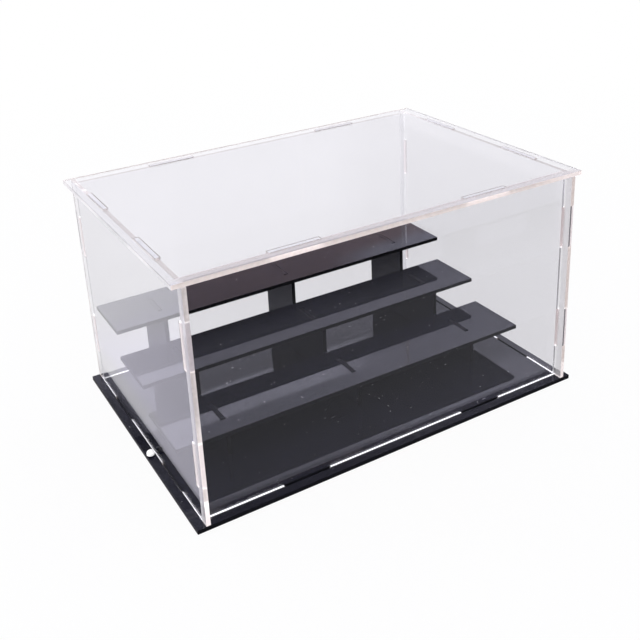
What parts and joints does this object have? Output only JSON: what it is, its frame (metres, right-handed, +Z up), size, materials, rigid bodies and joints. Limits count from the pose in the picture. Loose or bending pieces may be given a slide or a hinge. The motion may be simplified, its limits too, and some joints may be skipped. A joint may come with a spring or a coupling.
{
  "type": "tiered display case",
  "caption": "Clear lift-off cover on a flat black base, with a black stand of stepped shelves inside for showing small collectables.",
  "frame": {"origin": "centre of the base's underside", "axes": "+X along the front, to the right for someone who faces it, +Y from the front to the back, +Z up"},
  "size_m": [0.31, 0.21, 0.17],
  "materials": {
    "black_acrylic": "polished black acrylic sheet",
    "clear_acrylic": "polished clear acrylic sheet",
    "white_plastic": "moulded white plastic"
  },
  "bodies": {
    "base": {"base_plate": "black_acrylic", "edge_button": "white_plastic"},
    "cover": {"top_panel": "clear_acrylic", "front_panel": "clear_acrylic", "back_panel": "clear_acrylic", "left_side_panel": "clear_acrylic", "right_side_panel": "clear_acrylic"},
    "stand": {"lower_shelf": "black_acrylic", "middle_shelf": "black_acrylic", "upper_shelf": "black_acrylic", "left_support": "black_acrylic", "middle_support": "black_acrylic", "right_support": "black_acrylic"}
  },
  "joints": [
    {"name": "cover_lift", "type": "slide", "parent": "base", "child": "cover", "axis": [0, 0, 1], "range_m": [0, 0.17]},
    {"name": "stand_lift", "type": "slide", "parent": "base", "child": "stand", "axis": [0, 0, 1], "range_m": [0, 0.09]}
  ]
}
